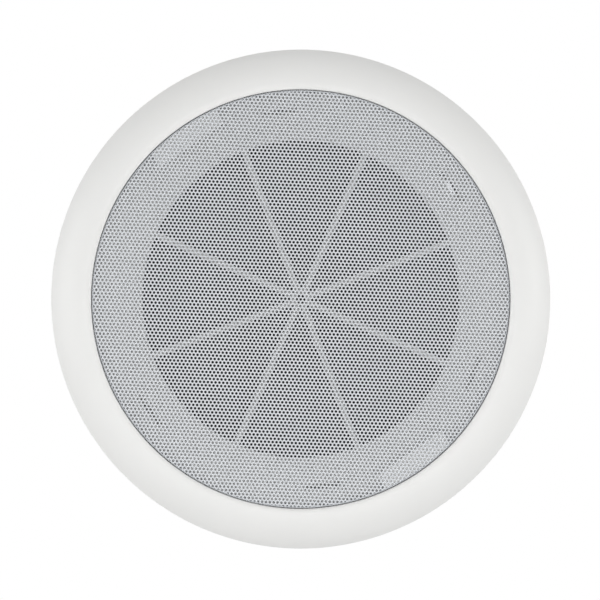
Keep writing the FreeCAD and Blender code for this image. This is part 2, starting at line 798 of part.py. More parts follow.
def terminal_block():
    """The moulded block behind the tab, with button wells, wire holes and seats for lugs and rivets."""
    body = new_body("terminal_block", size.terminal_angle.value)
    block_end = size.block_inner + size.block_reach
    half_width = size.block_width / 2
    sketch = new_sketch(body, "block_outline", "XY_Plane", 0, (0, 0, BLOCK_FRONT))
    box_outline(sketch, size.block_inner, block_end, -half_width, half_width)
    extrude(body, "block", sketch, size.block_depth, back=True)
    well_floor = BLOCK_BACK + size.button_height - size.button_proud + size.button_stroke
    well_floor = well_floor + size.button_clearance
    wells = new_sketch(body, "well_outline", "XY_Plane", 0, (0, 0, BLOCK_BACK))
    lug_seats = new_sketch(body, "lug_seat_outline", "XY_Plane", 0, (0, 0, BLOCK_FRONT))
    rivet_seats = new_sketch(body, "rivet_seat_outline", "XY_Plane", 0, (0, 0, BLOCK_FRONT))
    wire_holes = new_sketch(body, "wire_hole_outline", "YZ_Plane", 0, (0, 0, block_end))
    half_well = size.button_side / 2 + size.button_clearance
    half_lug = size.lug_width / 2 + size.lug_clearance
    half_sheet = size.lug_sheet / 2 + size.lug_clearance
    lug_place = size.block_inner + size.lug_inset
    for mark, side in (("left_", -1), ("right_", 1)):
        middle = size.button_spacing / 2 * side
        button_place = button_centre()
        box_outline(wells, button_place - half_well, button_place + half_well,
                    middle - half_well, middle + half_well, mark)
        box_outline(lug_seats, lug_place - half_sheet, lug_place + half_sheet,
                    middle - half_lug, middle + half_lug, mark)
        circle(rivet_seats, block_end - size.rivet_inset, rivet_offset() * side,
               size.rivet_radius + size.rivet_clearance, mark)
        circle(wire_holes, middle, BLOCK_FRONT - size.wire_hole_drop, size.wire_hole_radius, mark)
    extrude(body, "wells", wells, well_floor - BLOCK_BACK, "Pocket", back=True)
    extrude(body, "lug_seats", lug_seats, size.lug_root + size.lug_clearance, "Pocket")
    extrude(body, "rivet_seats", rivet_seats, size.rivet_grip + size.rivet_clearance, "Pocket")
    extrude(body, "wire_holes", wire_holes, size.wire_hole_depth, "Pocket")


def button_centre():
    """How far from the axis the push buttons stand."""
    return size.block_inner + size.block_reach / 2 + size.lug_inset / 2


def terminal_fittings():
    """The red and black push buttons, the contact lugs and the rivets of the terminal block."""
    half_side = size.button_side / 2
    for label, side in (("button_red", -1), ("button_black", 1)):
        body = new_body(label, size.terminal_angle.value)
        button_back = BLOCK_BACK - size.button_proud
        sketch = new_sketch(body, f"{label}_outline", "XY_Plane", 0, (0, 0, button_back))
        middle = size.button_spacing / 2 * side
        box_outline(sketch, button_centre() - half_side, button_centre() + half_side,
                    middle - half_side, middle + half_side)
        extrude(body, f"{label}_cap", sketch, size.button_height)

    lug_place = size.block_inner + size.lug_inset
    lugs = []
    rivets = []
    for side in (-1, 1):
        lug = doc.addObject("Part::Box", f"lug_{side + 1}")
        bind(lug, "Length", size.lug_sheet)
        bind(lug, "Width", size.lug_width)
        bind(lug, "Height", size.lug_root + size.basket_sheet + size.lug_rise)
        bind(lug, "Placement.Base.x", lug_place - size.lug_sheet / 2)
        bind(lug, "Placement.Base.y", size.button_spacing / 2 * side - size.lug_width / 2)
        bind(lug, "Placement.Base.z", BLOCK_FRONT - size.lug_root)
        lugs.append(lug)
        rivets.append(rivet(side))
    group_of("terminal_lugs", lugs)
    group_of("terminal_rivets", rivets)


def rivet(side):
    """One rivet through the tab: a low head on the front and a shank that ends in the block."""
    head = doc.addObject("Part::Cylinder", f"rivet_head_{side + 1}")
    shank = doc.addObject("Part::Cylinder", f"rivet_shank_{side + 1}")
    bind(head, "Radius", size.rivet_head_radius)
    bind(head, "Height", size.rivet_head_height)
    bind(head, "Placement.Base.z", SPIDER_SEAT)
    bind(shank, "Radius", size.rivet_radius)
    bind(shank, "Height", size.rivet_grip + size.basket_sheet + size.rivet_head_height / 2)
    bind(shank, "Placement.Base.z", BLOCK_FRONT - size.rivet_grip)
    for piece in (head, shank):
        bind(piece, "Placement.Base.x", size.block_inner + size.block_reach - size.rivet_inset)
        bind(piece, "Placement.Base.y", rivet_offset() * side)
    whole = doc.addObject("Part::Fuse", f"rivet_{side + 1}")
    whole.Base = head
    whole.Tool = shank
    return whole


def group_of(label, pieces):
    """Separate like solids of the terminal as one node, turned to the terminal's place."""
    group = doc.addObject("Part::Compound", label)
    group.Links = pieces
    turn = FreeCAD.Rotation(AXIAL, size.terminal_angle.value)
    group.Placement = FreeCAD.Placement(FreeCAD.Vector(), FRONT_TURN.multiply(turn))


def leads():
    """The two flexible leads: from each lug inwards, then in one bend up to the back of the cone."""
    start = size.block_inner + size.lug_inset - size.lug_sheet / 2 - size.glue_line
    height = SPIDER_SEAT + size.lug_rise - size.lug_width / 2
    corner = start - size.lead_run
    end = corner - size.lead_climb
    for label, side in (("lead_red", -1), ("lead_black", 1)):
        aside = size.button_spacing / 2 * side
        end_radius = (end * end + aside * aside).root()
        top = cone_height(end_radius) - size.cone_paper * 1.5 - size.lead_gap
        body = new_body(label, size.terminal_angle.value)
        path = new_sketch(body, f"{label}_path", "XZ_Plane", 0, (0, 0, -aside))
        bent_path(path, (start, height), (corner, height), (end, top), size.lead_bend)
        section = new_sketch(body, f"{label}_section", "YZ_Plane", 0, (0, 0, start))
        circle(section, aside, height, size.lead_radius)
        pipe = body.newObject("PartDesign::AdditivePipe", f"{label}_braid")
        pipe.Profile = section
        pipe.Spine = (path, ["Edge1", "Edge2", "Edge3"])


def bent_path(sketch, start, corner, end, radius):
    """Two straight runs joined by a tangent arc, all tied to the sheet."""
    points = [FreeCAD.Vector(x.value, y.value, 0) for x, y in (start, corner, end)]
    inwards = (points[0] - points[1]).normalize()
    outwards = (points[2] - points[1]).normalize()
    half_turn = inwards.getAngle(outwards) / 2
    setback = radius.value / math.tan(half_turn)
    first = points[1] + inwards * setback
    last = points[1] + outwards * setback
    bend = arc_between(first, last, radius.value, False)
    run_in = sketch.addGeometry(Part.LineSegment(points[0], first))
    arc = sketch.addGeometry(bend)
    run_out = sketch.addGeometry(Part.LineSegment(last, points[2]))
    sketch.addConstraint(Sketcher.Constraint("Tangent", run_in, 2, arc, 2))
    sketch.addConstraint(Sketcher.Constraint("Tangent", arc, 1, run_out, 1))
    fix(sketch, "Radius", "bend", radius, arc)
    fix(sketch, "DistanceX", "start_across", start[0], run_in, 1)
    fix(sketch, "DistanceY", "start_up", start[1], run_in, 1)
    sketch.addConstraint(Sketcher.Constraint("Horizontal", run_in))
    fix(sketch, "DistanceX", "end_across", end[0], run_out, 2)
    fix(sketch, "DistanceY", "end_up", end[1], run_out, 2)


def arm_slope():
    """Run, rise and length of the arm's cranked end, from the bend to the tip."""
    run = RIM_RADIUS - size.tip_inset - PIN_PLACE - size.arm_flat
    rise = -size.grip_gap - size.foot_sole - ARM_FRONT
    return run, rise, (run * run + rise * rise).root()


def arm_tip():
    """The front and back corners of the arm's cut end."""
    run, rise, slant = arm_slope()
    front = (RIM_RADIUS - size.tip_inset, ARM_FRONT + rise)
    back = (front[0] + size.arm_sheet * rise / slant, front[1] - size.arm_sheet * run / slant)
    return front, back


def clamp_arm(label, angle):
    """The sheet steel arm: a cranked plate with two cheeks that turn on the pin."""
    body = new_body(label, angle)
    run, rise, slant = arm_slope()
    bend = PIN_PLACE + size.arm_flat
    tip_front, tip_back = arm_tip()
    sketch = new_sketch(body, f"{label}_plate_outline", "XZ_Plane")
    outline(sketch, [
        (PIN_PLACE - size.arm_tail, ARM_FRONT),
        (bend, ARM_FRONT),
        tip_front,
        tip_back,
        (bend + size.arm_sheet * rise / (slant + run), ARM_BACK),
        (PIN_PLACE - size.arm_tail, ARM_BACK),
    ])
    extrude(body, f"{label}_plate", sketch, size.arm_width, side="Symmetric")
    sketch = new_sketch(body, f"{label}_cheek_outline", "XZ_Plane")
    outline(sketch, [
        (PIN_PLACE - size.arm_tail, ARM_FRONT),
        (PIN_PLACE - size.cheek_radius, PIN_HEIGHT, size.cheek_radius, True),
        (PIN_PLACE + size.cheek_radius, PIN_HEIGHT),
        (PIN_PLACE + size.cheek_root, ARM_FRONT),
    ])
    extrude(body, f"{label}_cheeks", sketch, size.arm_width, side="Symmetric")
    sketch = new_sketch(body, f"{label}_channel_outline", "XZ_Plane")
    past = size.cheek_radius * 2
    box_outline(sketch, PIN_PLACE - past, PIN_PLACE + past, PIN_HEIGHT - past, ARM_BACK)
    extrude(body, f"{label}_channel", sketch, size.arm_width - size.arm_sheet * 2, "Pocket", "Symmetric")
    sketch = new_sketch(body, f"{label}_hole_outline", "XZ_Plane")
    circle(sketch, PIN_PLACE, PIN_HEIGHT, size.pin_radius + size.pin_run)
    extrude(body, f"{label}_hole", sketch, size.arm_width + size.arm_sheet, "Pocket", "Symmetric")


def clamp_foot(label, angle):
    """The rubber foot pushed over the arm's end, with its sole towards the panel."""
    body = new_body(label, angle)
    run, rise, slant = arm_slope()
    tip_front, tip_back = arm_tip()
    inner = tip_front[0] - size.foot_cover
    outer = tip_back[0] + size.foot_wall
    sole = -size.grip_gap
    slope = rise / run
    back_drop = size.foot_wall * slant / run
    sketch = new_sketch(body, f"{label}_outline", "XZ_Plane")
    outline(sketch, [
        (inner, sole),
        (outer, sole),
        (outer, tip_back[1] + size.foot_wall * slope - back_drop),
        (inner, tip_back[1] - (tip_back[0] - inner) * slope - back_drop),
    ])
    extrude(body, f"{label}_rubber", sketch, size.arm_width + size.foot_wall * 2, side="Symmetric")
    slack = size.foot_clearance
    past = inner - size.foot_cover
    end = tip_back[0] + slack
    lift = slack * slant / run
    sketch = new_sketch(body, f"{label}_pocket_outline", "XZ_Plane")
    outline(sketch, [
        (past, tip_front[1] - (tip_front[0] - past) * slope + lift),
        (end, tip_front[1] + (end - tip_front[0]) * slope + lift),
        (end, tip_back[1] + slack * slope - lift),
        (past, tip_back[1] - (tip_back[0] - past) * slope - lift),
    ])
    extrude(body, f"{label}_pocket", sketch, size.arm_width + slack * 2, "Pocket", "Symmetric")


def clamp_pin(label, angle):
    """The hinge pin through the bracket's ears."""
    body = new_body(label, angle)
    sketch = new_sketch(body, f"{label}_outline", "XZ_Plane")
    circle(sketch, PIN_PLACE, PIN_HEIGHT, size.pin_radius)
    extrude(body, f"{label}_rod", sketch, BRACKET_WIDTH + size.pin_end * 2, side="Symmetric")


def clamp_spring(label, angle):
    """The torsion spring on the pin: a square-wire coil, one leg on the arm and one on the bracket's web."""
    body = new_body(label, angle)
    half_wire = size.spring_wire / 2
    coil = size.pin_rise - half_wire - size.spring_gap
    half_span = size.spring_pitch * size.spring_turns / 2
    sketch = new_sketch(body, f"{label}_section", "YZ_Plane", 0, (0, PIN_HEIGHT, PIN_PLACE))
    box_outline(sketch, -half_span - half_wire, -half_span + half_wire, coil - half_wire, coil + half_wire)
    helix = body.newObject("PartDesign::AdditiveHelix", f"{label}_coil")
    helix.Profile = sketch
    helix.ReferenceAxis = (sketch, ["H_Axis"])
    helix.Mode = "pitch-turns-angle"
    helix.Pitch = size.spring_pitch.value
    bind(helix, "Pitch", size.spring_pitch)
    helix.Turns = size.spring_turns.value
    bind(helix, "Turns", size.spring_turns)
    low = PIN_HEIGHT + coil - half_wire
    high = PIN_HEIGHT + coil + half_wire
    legs = (
        ("short_leg", PIN_PLACE - size.spring_short_leg, PIN_PLACE, half_span),
        ("long_leg", PIN_PLACE, PIN_PLACE + size.spring_long_leg, -half_span),
    )
    for name, left, right, aside in legs:
        sketch = new_sketch(body, f"{label}_{name}_outline", "XZ_Plane", 0, (0, 0, aside))
        box_outline(sketch, left, right, low, high)
        extrude(body, f"{label}_{name}", sketch, size.spring_wire, side="Symmetric")


def clamps():
    """Two spring clamps, opposite each other under the raised pads."""
    for letter, half_turn in (("a", 0.0), ("b", 180.0)):
        angle = size.clamp_angle.value + half_turn
        clamp_arm(f"clamp_arm_{letter}", angle)
        clamp_foot(f"clamp_foot_{letter}", angle)
        clamp_pin(f"clamp_pin_{letter}", angle)
        clamp_spring(f"clamp_spring_{letter}", angle)


def build():
    """Make every piece in the document."""
    front_rim()
    baffle()
    cone_guard()
    grille()
    basket()
    driver_soft_parts()
    moving_parts()
    motor()
    terminal_block()
    terminal_fittings()
    leads()
    clamps()
    doc.recompute()


def check_features():
    """Stop if an object failed, or a pocket took nothing away."""
    for item in doc.Objects:
        if "Invalid" in item.State or "Error" in item.State:
            raise RuntimeError(f"{item.Label} failed: {item.State}")
        if item.isDerivedFrom("PartDesign::Pocket"):
            before = item.BaseFeature.Shape.Volume
            if item.Shape.Volume > before * (1 - 1e-9):
                raise RuntimeError(f"{item.Label} cuts nothing")


def sub_parts():
    """The document's finished pieces: bodies, and the built-up pieces that nothing else uses."""
    kinds = ("PartDesign::Body", "Part::Cut", "Part::Compound")
    pieces = [item for item in doc.Objects if item.TypeId in kinds]
    return [piece for piece in pieces if piece.Label != "grille_blank"]


def write_parts():
    """Write each piece's solid to its own file."""
    os.makedirs("parts", exist_ok=True)
    for piece in sub_parts():
        if piece.Shape.isNull() or not piece.Shape.isValid():
            raise RuntimeError(f"{piece.Label} has no valid shape")
        piece.Shape.exportStep(f"parts/{piece.Label}.step")


build()
check_features()
write_parts()
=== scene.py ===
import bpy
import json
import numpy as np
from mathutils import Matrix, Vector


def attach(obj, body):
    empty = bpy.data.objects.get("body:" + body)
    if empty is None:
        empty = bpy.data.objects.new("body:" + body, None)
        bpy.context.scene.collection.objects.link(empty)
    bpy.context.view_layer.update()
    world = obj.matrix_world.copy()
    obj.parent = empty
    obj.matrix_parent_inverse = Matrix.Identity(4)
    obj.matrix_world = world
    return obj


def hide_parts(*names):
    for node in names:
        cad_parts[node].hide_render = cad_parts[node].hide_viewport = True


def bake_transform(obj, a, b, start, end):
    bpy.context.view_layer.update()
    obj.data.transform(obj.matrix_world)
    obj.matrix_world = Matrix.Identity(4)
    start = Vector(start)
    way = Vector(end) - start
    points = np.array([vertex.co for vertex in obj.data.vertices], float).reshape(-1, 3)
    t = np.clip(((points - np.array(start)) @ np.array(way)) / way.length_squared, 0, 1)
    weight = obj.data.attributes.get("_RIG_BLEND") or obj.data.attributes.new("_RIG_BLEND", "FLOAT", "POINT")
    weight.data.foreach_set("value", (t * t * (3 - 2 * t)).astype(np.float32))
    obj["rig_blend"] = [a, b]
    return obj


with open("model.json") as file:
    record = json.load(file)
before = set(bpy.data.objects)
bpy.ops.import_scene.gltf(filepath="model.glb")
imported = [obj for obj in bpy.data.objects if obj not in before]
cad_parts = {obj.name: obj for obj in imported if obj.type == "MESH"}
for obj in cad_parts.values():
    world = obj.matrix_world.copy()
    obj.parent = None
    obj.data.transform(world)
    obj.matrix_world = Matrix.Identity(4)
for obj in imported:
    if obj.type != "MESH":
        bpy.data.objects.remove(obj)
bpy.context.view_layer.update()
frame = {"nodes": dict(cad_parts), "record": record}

# Looks of the round flush-mount loudspeaker: perforated grille, domed rim, cloth parts, wires and finishes.
# Shapes are worked out in the loudspeaker's own axes: across to the right, up, and out to the listener.
import json
import math

import bpy
import numpy as np

MM = 0.001
TURN = 2 * np.pi
NEAR_ZERO = 1e-9
SHARP_EDGE = math.radians(40)
WIRE_SIDES = 16

# Rim: a dome from the panel up to a crest, then a rounded lip (width, drop) into the grille's well.
# Its radius is a hair under the solid's, so that it stays within the solid's facets.
RIM_RADIUS = 114.96 * MM
RIM_EDGE = 1.2 * MM
RIM_CREST = (97.25 * MM, 9.0 * MM)
RIM_LIP = (3.2 * MM, 1.5 * MM)
RIM_WELL = 96.25 * MM
RIM_COLLAR = 98.95 * MM
RIM_SEAT = 1.0 * MM
RIM_WALL = 2.4 * MM
RIM_STEPS = 288
RIM_DOME_POINTS = 28
RIM_LIP_POINTS = 20
RIM_UNDER_POINTS = 12

# Grille: a pressed dish of perforated sheet
GRILLE_FACE = 7.4 * MM
GRILLE_RADIUS = 95.96 * MM
GRILLE_BEND = 1.1 * MM
GRILLE_SHEET = 0.6 * MM
GRILLE_FOOT = 1.0 * MM
HOLE_PITCH = 1.772 * MM
HOLE_RADIUS = 0.612 * MM
HOLE_TILT = math.radians(-2.7)
HOLE_SHIFT = (-0.034 * MM, -0.164 * MM)
HOLE_SIDES = 12
# Holes that paint has closed, by place across and up, with the share of their radius that is left
CLOGGED_HOLES = ((67.3 * MM, 53.4 * MM, 0.55), (67.9 * MM, 51.9 * MM, 0.05),
                 (68.6 * MM, 50.1 * MM, 0.4), (69.5 * MM, 48.4 * MM, 0.6))
QUARTERS = 4

# Cloth parts of the driver, as radii and heights along the axis
SURROUND_INNER = 57.6 * MM
SURROUND_FREE = (60.8 * MM, 69.9 * MM)
SURROUND_OUTER = 75.4 * MM
SURROUND_HEIGHTS = (-6.1 * MM, -5.7 * MM)
SURROUND_PLEAT = 1.5 * MM
SURROUND_ROLLS = 2
SPIDER_INNER = 12.8 * MM
SPIDER_FREE = (15.8 * MM, 36.8 * MM)
SPIDER_OUTER = 41.8 * MM
SPIDER_HEIGHTS = (-29.5 * MM, -29.5 * MM)
SPIDER_PLEAT = 1.4 * MM
SPIDER_ROLLS = 3
CLOTH = 0.5 * MM
CLOTH_STEPS = 240
CLOTH_POINTS = 12
CLOTH_ROLL_POINTS = 24

# Leads between the terminal lugs and the cone: three guide points of each, as distance from the axis and
# height along it, and a braid whose crowns take up a share of the radius
LEAD_GUIDES = ((44.75 * MM, -26.5 * MM), (35.2 * MM, -26.5 * MM), (32.6 * MM, -20.4 * MM))
LEAD_ASIDE = 6.2 * MM
LEAD_RADIUS = 0.6 * MM
LEAD_CROWN = 0.07
LEAD_STRANDS = 4
LEAD_WINDS = 26
LEAD_STEPS = 160
LEAD_SIDES = 32
TERMINAL_ANGLE = math.radians(270)

# Push buttons and rivets of the terminal block, by their distance from the axis, aside and along the axis
BUTTON_PLACE = 52.85 * MM
BUTTON_ENDS = (-39.5 * MM, -48.0 * MM)
BUTTON_HALF = 4.0 * MM
BUTTON_ROUND = 0.9 * MM
BUTTON_DISH = 0.7 * MM
BUTTON_SQUARE = 7
BUTTON_SIDES = 64
BUTTON_ROUND_POINTS = 9
BUTTON_TOP_POINTS = 12
BUTTON_CLOSED = 0.02
RIVET_PLACE = 58.5 * MM
RIVET_ASIDE = 11.0 * MM
RIVET_ENDS = (-37.0 * MM, -30.0 * MM, -28.9 * MM)
RIVET_RADII = (1.2 * MM, 2.2 * MM)
RIVET_DOME = (0.25, math.pi / 2 - 0.02)
RIVET_DOME_POINTS = 12
RIVET_SUNK = 0.2
RIVET_SIDES = 32

# Clamp springs
PIN_PLACE = 93.25 * MM
PIN_HEIGHT = -14.5 * MM
SPRING_RADIUS = 2.45 * MM
SPRING_WIRE = 0.5 * MM
SPRING_TURNS = 4
SPRING_HALF = 3.0 * MM
SPRING_LONG_LEG = 8.0 * MM
SPRING_SHORT_LEG = 5.0 * MM
SPRING_TURN_POINTS = 48
SPRING_LEG_POINTS = 12
CLAMP_ANGLES = {"a": math.radians(125), "b": math.radians(305)}

# Studio
CAMERA_PLACE = (-0.34 * MM, -1600 * MM, -0.42 * MM)
CAMERA_LENS = 208.2
CAMERA_SENSOR = 36
CAMERA_NEAR = 0.01
FLOOR_HEIGHT = -200 * MM
FLOOR_SPAN = ((-1.6, 1.6), (-1.5, 0.65))
FLOOR_STEPS = 24
FLOOR_LIFT = (0.3, 0.75)
FLOOR_FADE = (0.28, 0.62)
LIGHT_MEAN = 0.735
LIGHT_LEAN = (0, 0.42, -0.22)
# Soft lamps: name, place, aim, width, height and watts
SOFT_LAMPS = (("left_soft_box", (-1.3, -0.8, 0.0), (0, 0, 0), 0.9, 1.2, 9.3),
              ("right_soft_box", (1.3, -0.8, 0.0), (0, 0, 0), 0.9, 1.2, 9.3),
              ("front_soft_box", (0.0, -2.2, 0.25), (0, 0, 0), 0.7, 0.7, 4.6),
              ("low_strip", (0.0, -0.4, -0.185), (0, 0, -0.04), 0.8, 0.06, 0.6))

# Places of a Mix node's sockets, which share their names between kinds of data
MIX_VALUES = (2, 3)
MIX_COLOURS = (6, 7)
MIX_COLOUR_OUT = 2


def stand(across, up, out):
    """Points across, up and out to the listener as frame points: x = across, y = -out, z = up."""
    return np.stack(np.broadcast_arrays(across, -np.asarray(out), up), axis=-1).reshape(-1, 3)


def turned(distance, aside, out, angle):
    """Points at a distance along a spoke at an angle and aside of it, as frame points."""
    across = distance * np.cos(angle) - aside * np.sin(angle)
    up = distance * np.sin(angle) + aside * np.cos(angle)
    return stand(across, up, out)


def put_mesh(name, points, *face_arrays):
    """A mesh from whole arrays: points (n, 3), and any number of (m, corners) arrays of point numbers."""
    mesh = bpy.data.meshes.new(name)
    mesh.vertices.add(len(points))
    mesh.vertices.foreach_set("co", np.ascontiguousarray(points, np.float32).ravel())
    corners = np.concatenate([faces.ravel() for faces in face_arrays]).astype(np.int32)
    sizes = np.concatenate([np.full(len(faces), faces.shape[1]) for faces in face_arrays])
    mesh.loops.add(len(corners))
    mesh.loops.foreach_set("vertex_index", corners)
    mesh.polygons.add(len(sizes))
    mesh.polygons.foreach_set("loop_start", (np.cumsum(sizes) - sizes).astype(np.int32))
    mesh.update(calc_edges=True)
    mesh.polygons.foreach_set("use_smooth", np.ones(len(sizes), bool))
    mesh.set_sharp_from_angle(angle=SHARP_EDGE)
    return mesh


def put_piece(name, mesh, look):
    """A piece at the origin with one look."""
    piece = bpy.data.objects.new(name, mesh)
    bpy.context.scene.collection.objects.link(piece)
    mesh.materials.append(look)
    return piece


def grid_faces(rows, columns, closed_rows, closed_columns):
    """Four-cornered faces of a rows by columns grid of points, closed on itself either way if asked."""
    row = np.arange(rows if closed_rows else rows - 1)[:, None]
    column = np.arange(columns if closed_columns else columns - 1)[None, :]
    next_row = (row + 1) % rows
    next_column = (column + 1) % columns
    corners = [row * columns + column, next_row * columns + column,
               next_row * columns + next_column, row * columns + next_column]
    return np.stack(np.broadcast_arrays(*corners), axis=-1).reshape(-1, 4)


def revolved(name, outline, steps):
    """A closed outline of (radius, height) points, carried round the axis in equal steps.

    Point (step, corner) lies at radius r and turn t: across = r cos t, up = r sin t, out = height.
    """
    radius, height = np.asarray(outline).T
    turn = np.arange(steps)[:, None] * TURN / steps
    points = stand(radius * np.cos(turn), radius * np.sin(turn), height)
    return put_mesh(name, points, grid_faces(steps, len(radius), True, True))


def arc(centre, radius, turns, count):
    """Points on an arc about a centre: centre + radius (cos a, sin a), with a even between two turns."""
    turn = np.linspace(*turns, count)
    return np.stack([centre[0] + radius * np.cos(turn), centre[1] + radius * np.sin(turn)], axis=-1)


def domed_rim(look):
    """The rim: a dome whose arc lies level at the crest, a rounded lip, the well's wall and a hollow back.

    The dome's radius follows from its reach and rise: (reach^2 + rise^2) / (2 rise). The lip runs inwards to
    the well: radius = well + width (1 - sin t), height = dome - drop (1 - cos t), up to a quarter turn.
    """
    crest, top = RIM_CREST
    reach = RIM_RADIUS - crest
    rise = top - RIM_EDGE
    dome = (reach ** 2 + rise ** 2) / (2 * rise)
    centre = (crest, top - dome)
    under = dome - RIM_WALL
    width, drop = RIM_LIP
    dome_turns = math.asin((RIM_EDGE - centre[1]) / dome), math.acos((RIM_WELL + width - crest) / dome)
    under_turns = math.acos((RIM_COLLAR - crest) / under), math.asin(-centre[1] / under)
    turn = np.linspace(0, np.pi / 2, RIM_LIP_POINTS)[1:]
    lip = RIM_WELL + width * (1 - np.sin(turn))
    lip_height = centre[1] + np.sqrt(dome ** 2 - (lip - crest) ** 2) - drop * (1 - np.cos(turn))
    outline = np.concatenate([
        [(RIM_RADIUS, 0)],
        arc(centre, dome, dome_turns, RIM_DOME_POINTS),
        np.stack([lip, lip_height], axis=-1),
        [(RIM_WELL, RIM_SEAT), (RIM_COLLAR, RIM_SEAT)],
        arc(centre, under, under_turns, RIM_UNDER_POINTS),
    ])
    piece = put_piece("domed_rim", revolved("domed_rim", outline, RIM_STEPS), look)
    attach(piece, "housing")
    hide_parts("front_rim")


def wire(name, path, normal, binormal, radius):
    """A closed tube: at each path point, a ring of points at radius along normal cos a + binormal sin a.

    radius is one number, or an array of (path points, ring points). Each end is a fan on the path's end.
    """
    steps = len(path)
    radius = np.atleast_2d(radius)
    sides = radius.shape[1] if radius.shape[1] > 1 else WIRE_SIDES
    turn = np.arange(sides)[None, :, None] * TURN / sides
    ring = normal[:, None] * np.cos(turn) + binormal[:, None] * np.sin(turn)
    points = (path[:, None] + ring * radius[..., None]).reshape(-1, 3)
    points = np.concatenate([points, path[:1], path[-1:]])
    side = np.arange(sides)
    following = (side + 1) % sides
    first = np.stack([np.full(sides, steps * sides), following, side], axis=1)
    last_ring = (steps - 1) * sides
    last = np.stack([np.full(sides, steps * sides + 1), last_ring + side, last_ring + following], axis=1)
    around = grid_faces(steps, sides, False, True)
    return put_mesh(name, points, around[:, ::-1], first[:, ::-1], last[:, ::-1])


def on_dish(flat, depth):
    """Flat sheet points folded onto the grille's dish, a depth below its outer face.

    The distance s from the middle is kept along the dish: level out to the bend, then round it by the angle
    (s - level) / bend, then straight back down the rim, where it stops at the foot.
    """
    level = GRILLE_RADIUS - GRILLE_BEND
    bent = level + GRILLE_BEND * np.pi / 2
    reach = bent + GRILLE_FACE - GRILLE_BEND - GRILLE_FOOT
    distance = np.hypot(*flat.T)
    along = np.minimum(distance, reach)
    lean = np.clip((along - level) / GRILLE_BEND, 0, np.pi / 2)
    arm = GRILLE_BEND - depth
    radius = np.minimum(along, level) + arm * np.sin(lean)
    out = GRILLE_FACE - GRILLE_BEND + arm * np.cos(lean) - np.maximum(along - bent, 0)
    heading = flat / np.maximum(distance, NEAR_ZERO)[:, None]
    return stand(radius * heading[:, 0], radius * heading[:, 1], out), distance >= reach


def perforated_quarter(number, look):
    """One quarter of the perforated dish, as six-sided cells of the hole lattice with a round hole in each.

    Cell (row, column) has its middle at a = 2 column + row mod 2 half pitches across and b = 3 row steps of
    pitch / (2 root 3) up, so the corners of its hexagon are whole numbers too and neighbours share them.
    """
    half = HOLE_PITCH / 2
    rise = HOLE_PITCH / (2 * math.sqrt(3))
    extent = GRILLE_RADIUS + GRILLE_FACE + HOLE_PITCH
    rows = math.ceil(extent / (3 * rise))
    columns = math.ceil(extent / HOLE_PITCH)
    row, column = np.meshgrid(np.arange(-rows, rows + 1), np.arange(-columns, columns + 1), indexing="ij")
    cells = np.stack([2 * column + row % 2, 3 * row], axis=-1).reshape(-1, 2)
    steps = np.array([half, rise])
    inside = np.hypot(*(cells * steps).T) < extent
    quarter = np.floor(np.arctan2(cells[:, 1], cells[:, 0]) % TURN / (TURN / QUARTERS))
    cells = cells[inside & (quarter == number)]

    hexagon = np.array([(1, 1), (0, 2), (-1, 1), (-1, -1), (0, -2), (1, -1)])
    lattice, corner = np.unique((cells[:, None] + hexagon).reshape(-1, 2), axis=0, return_inverse=True)
    corner = corner.reshape(-1, len(hexagon))
    cosine, sine = math.cos(HOLE_TILT), math.sin(HOLE_TILT)
    tilt = np.array([[cosine, sine], [-sine, cosine]])
    middles = cells * steps @ tilt + HOLE_SHIFT
    radius = np.full(len(cells), HOLE_RADIUS)
    for across, up, left in CLOGGED_HOLES:
        radius[np.hypot(*(middles - (across, up)).T) < half] *= left
    turn = HOLE_TILT + np.arange(HOLE_SIDES) * TURN / HOLE_SIDES
    ring = np.stack([np.cos(turn), np.sin(turn)], axis=-1)
    holes = middles[:, None] + radius[:, None, None] * ring
    flat = np.concatenate([lattice * steps @ tilt + HOLE_SHIFT, holes.reshape(-1, 2)])

    side = np.arange(len(hexagon))
    hole = len(lattice) + np.arange(len(cells))[:, None] * HOLE_SIDES
    here = corner
    there = np.roll(corner, -1, axis=1)
    first = hole + 2 * side + 1
    middle = hole + (2 * side + 2) % HOLE_SIDES
    last = hole + (2 * side + 3) % HOLE_SIDES
    front = np.concatenate([np.stack(corners, axis=-1).reshape(-1, 3) for corners in
                            ((here, there, middle), (here, middle, first), (there, last, middle))])

    outer, stopped = on_dish(flat, 0.0)
    inner = on_dish(flat, GRILLE_SHEET)[0]
    front = front[~stopped[front].all(axis=1)]
    count = len(flat)
    edges = front[:, [0, 1, 1, 2, 2, 0]].reshape(-1, 2)
    forward = edges[:, 0] * count + edges[:, 1]
    backward = edges[:, 1] * count + edges[:, 0]
    open_edges = edges[~np.isin(forward, backward)]
    start, end = open_edges.T
    walls = np.stack([end, start, start + count, end + count], axis=-1)
    used, faces = np.unique(np.concatenate([front.ravel(), (front[:, ::-1] + count).ravel(), walls.ravel()]),
                            return_inverse=True)
    points = np.concatenate([outer, inner])[used]
    triangles = faces[:2 * front.size].reshape(-1, 3)
    name = f"grille_sheet_{number + 1}"
    mesh = put_mesh(name, points, triangles, faces[2 * front.size:].reshape(-1, 4))
    piece = put_piece(name, mesh, look)
    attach(piece, "housing")
    return piece


